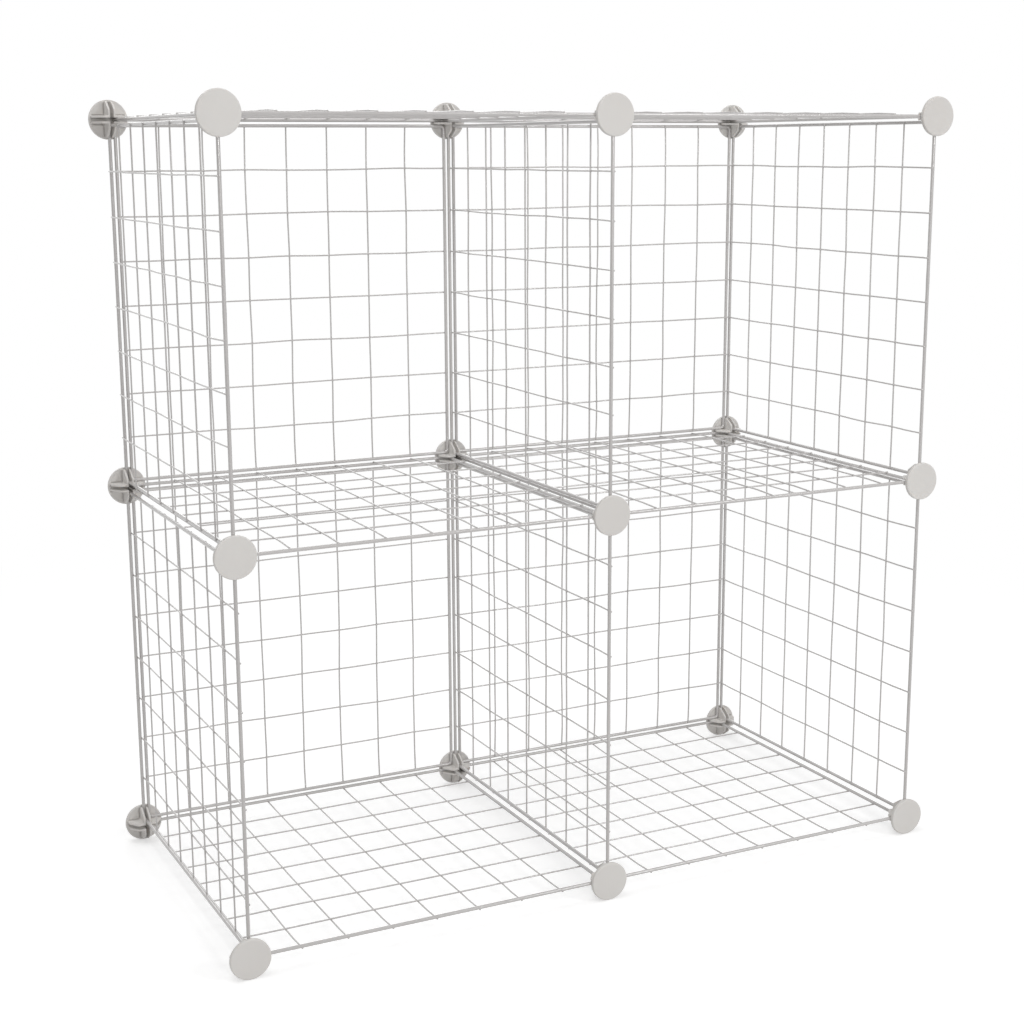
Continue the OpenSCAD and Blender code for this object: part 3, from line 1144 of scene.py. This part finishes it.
# %% [markdown]
# ### The plates
#
# Between the arms of the sunken cross four plates keep the disc's full thickness. A plate has
# a plain outline: two straight sides, a small inner corner and an arc that is tucked under the
# plain ring. The same outline, drawn in step by step while the height rises, gives the plate
# its soft edge. Cutting the cross out of the disc with a Boolean would leave it sharp.

# %% The plates
PLATE_CORNER_R = 0.6 * MM
PLATE_TUCK = 0.8 * MM  # how far a plate reaches under the ring
PLATE_DROP = 0.01 * MM  # keeps the two tops apart where they overlap
PLATE_FLAT = 1.5 * MM  # how far in the last row lies, from where a fan closes the flat top
PLATE_LEAST_R = 0.1 * MM  # the inner corner stays at least this round
PLATE_CORNER_ROWS = 6
PLATE_ARC_ROWS = 12
PLATE_SIDE_ROWS = np.array([0.02, 0.3, 0.7, 0.97])  # shares of the way along a straight side
PLATE_FOOT = 0.3 * FILLET  # middle of the hollow between a plate's foot and its wall


def plate_outline(inset):
    """The plate's outline, drawn in by each of the given insets, as (insets, points, 2).

    It runs round the inner corner's arc, along x with y = side, round the outer arc of radius
    reach about the disc's middle and back along y with x = side.
    """
    inset = inset[:, None]
    side = recess_half + inset
    reach = ring_in + PLATE_TUCK - inset
    small = np.maximum(PLATE_CORNER_R - inset, PLATE_LEAST_R)
    c, s = arc(180, 270, PLATE_CORNER_ROWS)
    corner = np.stack([side + small + small * c, side + small + small * s], axis=-1)
    turn = np.arcsin(side / reach)
    start, end = side + small, reach * np.cos(turn)
    x = start + (end - start) * PLATE_SIDE_ROWS
    straight = np.stack(np.broadcast_arrays(x, side), axis=-1)
    angle = turn + (np.pi / 2 - 2 * turn) * np.linspace(0, 1, PLATE_ARC_ROWS)
    outer = reach[..., None] * np.stack([np.cos(angle), np.sin(angle)], axis=-1)
    return np.concatenate([corner, straight, outer, straight[:, ::-1, ::-1]], axis=1)[:, ::-1]


def plate():
    """Rows from the foot up the wall, over the rounded edge and in over the flat top."""
    c, s = arc(180, 90, EDGE_ROWS)
    up = np.array([(-FILLET, -ROOT), (-FILLET, 0), (-PLATE_FOOT, PLATE_FOOT), (0, FILLET)])
    over = [(FILLET * (1 + a), -FILLET * (1 - b)) for a, b in zip(c, s)]
    top = [(0, -FILLET - SUPPORT), *over, (FILLET + SUPPORT, 0), (PLATE_FLAT, 0)]
    rows = np.concatenate([up - [0, RECESS_H], np.array(top) - [0, PLATE_DROP]])
    plan = plate_outline(rows[:, 0])
    height = np.broadcast_to(rows[:, 1, None, None], plan.shape[:2] + (1,))
    return np.concatenate([plan, height], axis=-1)


print("one plate:", plate().shape[0] * plate().shape[1], "points")

# %% [markdown]
# ### The snap ridges
#
# A snap ridge is a short swelling in the wall of a slot. The wire clicks past it and can't drop
# out again. A flattened ball would do, but it is widest at one point only, and a moulded ridge
# keeps its height over most of its length. A wire's own surface can make that: a tube whose
# radius rises quickly at one end, stays level and falls quickly at the other.

# %% The snap ridges
RIDGE_ROWS = 13
RIDGE_SIDES = 12
RIDGE_LEAST = 0.01  # floor under the square of the swell, so that the tips aren't points


def snap_ridge(side):
    """A low spindle along Y, with its axis at x = side: its radius swells and shrinks again.

    Radius = SNAP_R * (1 - (2 s - 1)^4)^(1/2) for s from 0 to 1 along the ridge, and s itself is
    (1 - cos(pi t)) / 2 for even steps of t, so that its rows lie closer together at the tips.
    """
    s = (1 - np.cos(np.pi * np.linspace(0, 1, RIDGE_ROWS))) / 2
    radius = SNAP_R * np.sqrt(np.clip(1 - (2 * s - 1) ** 4, RIDGE_LEAST, 1))
    wire_reach = EDGE_R + SNAP_R + CLEARANCE
    height = slot_half + np.sqrt(wire_reach**2 - snap_side**2)
    start = wire_offset + CORNER_R + slot_half / 2
    x, z = np.full(RIDGE_ROWS, side), np.full(RIDGE_ROWS, height)
    path = np.stack([x, start + SNAP_LEN * s, z], axis=1)
    return tube(path, radius, (0, 0, 1), RIDGE_SIDES)


print("one snap ridge:", RIDGE_ROWS * RIDGE_SIDES, "points")

# %% A whole connector
def quarter_turns(points):
    """The same shell four times, turned about the disc's axis."""
    return np.stack([points @ turned(2, 90 * n).T for n in range(4)])


def connector_surface():
    """All the shells of one connector, with its axis along Z and its disc under the XY plane."""
    ridges = [snap_ridge(side) for side in (snap_side, wire_offset - snap_side)]
    mirrored = [(ridge * [-1, 1, 1])[:, ::-1] for ridge in ridges]
    forms = [rib(), plate(), *ridges, *mirrored]
    return joined([disc()] + [shell(quarter_turns(form)) for form in forms])


connector = connector_surface()
print("one connector:", 2 * len(connector[1]) + len(connector[2]), "triangles")

# %% [markdown]
# ### Eighteen connectors in their places
#
# Front connectors cap the unit with their discs towards the viewer, and rear ones the other
# way. Both have their ribs inside the unit, where the panels' corners reach. All eighteen come
# out of one mould, so one set of arrays serves them all. Each object still gets its own mesh
# with its place worked in, because its grain is laid over the whole unit.

# %% Place the connectors
for name in connectors:
    low, high = box_corners(name)
    side = 1 if name.startswith("rear") else -1
    axes = np.array([(1, 0, 0), (0, 0, side), (0, -side, 0)])
    face = (high if side > 0 else low)[1] - side * DISC_T
    origin = np.array([(low[0] + high[0]) / 2, face, (low[2] + high[2]) / 2])
    points, quads, tris = connector
    stand_in(name, "moulding", (origin + points @ axes, quads, tris), frosted_plastic)
print(len(connectors), "connectors placed")

# %% [markdown]
# ## The last measure
#
# The finished surfaces must not outgrow the CAD model, so the largest gap between their boxes is
# printed.

# %% Compare the boxes and finish
visual_box = [list(corner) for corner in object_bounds()]
grown = np.abs(np.array(visual_box) - np.array(cad_box)).max()
print(f"visual model differs from the CAD box by {grown / MM:.2f} mm at most")
